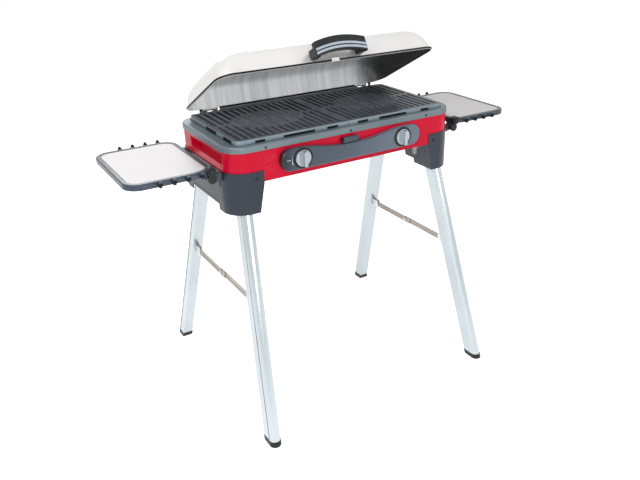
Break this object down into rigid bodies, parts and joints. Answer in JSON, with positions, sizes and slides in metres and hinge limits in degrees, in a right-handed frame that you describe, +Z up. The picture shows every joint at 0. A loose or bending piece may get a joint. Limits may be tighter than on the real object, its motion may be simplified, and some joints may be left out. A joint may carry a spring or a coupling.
{
  "type": "gas barbecue grill",
  "caption": "Free-standing gas barbecue with a hinged hood, cast grates, a front control panel, splayed braced legs and fold-down side tables.",
  "frame": {"origin": "on the floor under the middle of the casing", "axes": "+X along the long front, -Y to the front, +Z up"},
  "size_m": [1.148, 0.6706, 0.9669],
  "materials": {
    "red_enamel": "glossy enamel",
    "rim_paint": "satin paint",
    "black_enamel": "matt enamel",
    "galvanised": "plain sheet",
    "brass": "turned",
    "gas_steel": "drawn tube",
    "slate_plastic": "fine texture",
    "black_plastic": "fine texture",
    "silver_plastic": "metallic lacquer",
    "hood_steel": "satin",
    "chrome": "bright",
    "leg_alloy": "anodised",
    "tray_steel": "satin",
    "bright_steel": "zinc plated"
  },
  "bodies": {
    "base": {"body_shell": "red_enamel", "top_frame": "rim_paint", "firebox": "black_enamel", "burners": "gas_steel", "gas_valves": "brass", "gas_manifold": "gas_steel", "gas_inlet": "brass", "control_panel": "slate_plastic", "knob_bezels": "black_plastic", "latch_base": "slate_plastic", "latch_pin": "bright_steel", "hinge_frame_leaves": "bright_steel", "hinge_pins": "bright_steel", "leg_housing_left": "slate_plastic", "leg_housing_right": "slate_plastic", "housing_screw_heads": "black_plastic", "leg_pivot_pins": "bright_steel", "table_arms_left": "slate_plastic", "table_arms_right": "slate_plastic"},
    "lid": {"lid_shell": "hood_steel", "lid_handle": "slate_plastic", "lid_catch": "chrome", "hinge_lid_leaves": "bright_steel"},
    "latch": {"latch_lever": "silver_plastic"},
    "tray": {"grease_tray": "galvanised"},
    "spindle_left": {"valve_spindle_left": "brass"},
    "knob_left": {"control_knob_left": "silver_plastic"},
    "grate_left": {"grate_left": "black_enamel"},
    "leg_front_left": {"leg_front_left": "leg_alloy", "foot_plug_front_left": "black_plastic", "brace_clip_front_left": "bright_steel"},
    "brace_front_left": {"brace_front_left": "bright_steel", "brace_stud_front_left": "bright_steel"},
    "leg_rear_left": {"leg_rear_left": "leg_alloy", "foot_plug_rear_left": "black_plastic", "brace_clip_rear_left": "bright_steel"},
    "brace_rear_left": {"brace_rear_left": "bright_steel", "brace_stud_rear_left": "bright_steel"},
    "table_left": {"table_frame_left": "slate_plastic", "table_plate_left": "tray_steel", "table_pins_left": "bright_steel"},
    "thumb_left": {"thumb_knob_left": "black_plastic"},
    "spindle_right": {"valve_spindle_right": "brass"},
    "knob_right": {"control_knob_right": "silver_plastic"},
    "grate_right": {"grate_right": "black_enamel"},
    "leg_front_right": {"leg_front_right": "leg_alloy", "foot_plug_front_right": "black_plastic", "brace_clip_front_right": "bright_steel"},
    "brace_front_right": {"brace_front_right": "bright_steel", "brace_stud_front_right": "bright_steel"},
    "leg_rear_right": {"leg_rear_right": "leg_alloy", "foot_plug_rear_right": "black_plastic", "brace_clip_rear_right": "bright_steel"},
    "brace_rear_right": {"brace_rear_right": "bright_steel", "brace_stud_rear_right": "bright_steel"},
    "table_right": {"table_frame_right": "slate_plastic", "table_plate_right": "tray_steel", "table_pins_right": "bright_steel"},
    "thumb_right": {"thumb_knob_right": "black_plastic"}
  },
  "joints": [
    {"name": "lid_hinge", "type": "hinge", "parent": "base", "child": "lid", "pos_m": [0, 0.164, 0.7585], "axis": [-1, 0, 0], "range_deg": [-28, 62]},
    {"name": "latch_turn", "type": "hinge", "parent": "base", "child": "latch", "pos_m": [-0.008, -0.1695, 0.714], "axis": [1, 0, 0], "range_deg": [0, 80]},
    {"name": "tray_slide", "type": "slide", "parent": "base", "child": "tray", "axis": [0, 1, 0], "range_m": [0, 0.25]},
    {"name": "knob_push_left", "type": "slide", "parent": "base", "child": "spindle_left", "axis": [0, 1, 0], "range_m": [0, 0.003], "stiffness_N_per_m": 1500, "springref_m": -0.001},
    {"name": "knob_turn_left", "type": "hinge", "parent": "spindle_left", "child": "knob_left", "pos_m": [-0.152, -0.18, 0.697], "axis": [0, -1, 0], "range_deg": [0, 180]},
    {"name": "grate_lift_left", "type": "slide", "parent": "base", "child": "grate_left", "axis": [0, 0, 1], "range_m": [0, 0.018]},
    {"name": "leg_fold_front_left", "type": "hinge", "parent": "base", "child": "leg_front_left", "pos_m": [-0.29285, -0.11795, 0.636], "axis": [0.9964, 0, -0.0845], "range_deg": [0, 12]},
    {"name": "brace_turn_front_left", "type": "hinge", "parent": "leg_front_left", "child": "brace_front_left", "pos_m": [-0.31712, -0.16501, 0.35], "axis": [-0.9964, 0, 0.0845], "range_deg": [0, 12]},
    {"name": "leg_fold_rear_left", "type": "hinge", "parent": "base", "child": "leg_rear_left", "pos_m": [-0.29285, 0.11795, 0.636], "axis": [-0.9964, 0, 0.0845], "range_deg": [0, 12]},
    {"name": "brace_turn_rear_left", "type": "hinge", "parent": "leg_rear_left", "child": "brace_rear_left", "pos_m": [-0.31712, 0.16501, 0.35], "axis": [0.9964, 0, -0.0845], "range_deg": [0, 12]},
    {"name": "table_fold_left", "type": "hinge", "parent": "base", "child": "table_left", "pos_m": [-0.372, 0, 0.674], "axis": [0, -1, 0], "range_deg": [0, 90]},
    {"name": "thumb_turn_left", "type": "hinge", "parent": "table_left", "child": "thumb_left", "pos_m": [-0.372, -0.128, 0.674], "axis": [0, -1, 0], "range_deg": [0, 270]},
    {"name": "knob_push_right", "type": "slide", "parent": "base", "child": "spindle_right", "axis": [0, 1, 0], "range_m": [0, 0.003], "stiffness_N_per_m": 1500, "springref_m": -0.001},
    {"name": "knob_turn_right", "type": "hinge", "parent": "spindle_right", "child": "knob_right", "pos_m": [0.152, -0.18, 0.697], "axis": [0, -1, 0], "range_deg": [0, 180]},
    {"name": "grate_lift_right", "type": "slide", "parent": "base", "child": "grate_right", "axis": [0, 0, 1], "range_m": [0, 0.018]},
    {"name": "leg_fold_front_right", "type": "hinge", "parent": "base", "child": "leg_front_right", "pos_m": [0.29285, -0.11795, 0.636], "axis": [0.9964, 0, 0.0845], "range_deg": [0, 12]},
    {"name": "brace_turn_front_right", "type": "hinge", "parent": "leg_front_right", "child": "brace_front_right", "pos_m": [0.31712, -0.16501, 0.35], "axis": [-0.9964, 0, -0.0845], "range_deg": [0, 12]},
    {"name": "leg_fold_rear_right", "type": "hinge", "parent": "base", "child": "leg_rear_right", "pos_m": [0.29285, 0.11795, 0.636], "axis": [-0.9964, 0, -0.0845], "range_deg": [0, 12]},
    {"name": "brace_turn_rear_right", "type": "hinge", "parent": "leg_rear_right", "child": "brace_rear_right", "pos_m": [0.31712, 0.16501, 0.35], "axis": [0.9964, 0, 0.0845], "range_deg": [0, 12]},
    {"name": "table_fold_right", "type": "hinge", "parent": "base", "child": "table_right", "pos_m": [0.372, 0, 0.674], "axis": [0, 1, 0], "range_deg": [0, 90]},
    {"name": "thumb_turn_right", "type": "hinge", "parent": "table_right", "child": "thumb_right", "pos_m": [0.372, -0.128, 0.674], "axis": [0, -1, 0], "range_deg": [0, 270]}
  ],
  "couplings": [
    {"joint": "brace_turn_front_left", "follows": "leg_fold_front_left", "ratio": 1},
    {"joint": "leg_fold_rear_left", "follows": "leg_fold_front_left", "ratio": 1},
    {"joint": "brace_turn_rear_left", "follows": "leg_fold_front_left", "ratio": 1},
    {"joint": "brace_turn_front_right", "follows": "leg_fold_front_right", "ratio": 1},
    {"joint": "leg_fold_rear_right", "follows": "leg_fold_front_right", "ratio": 1},
    {"joint": "brace_turn_rear_right", "follows": "leg_fold_front_right", "ratio": 1}
  ]
}
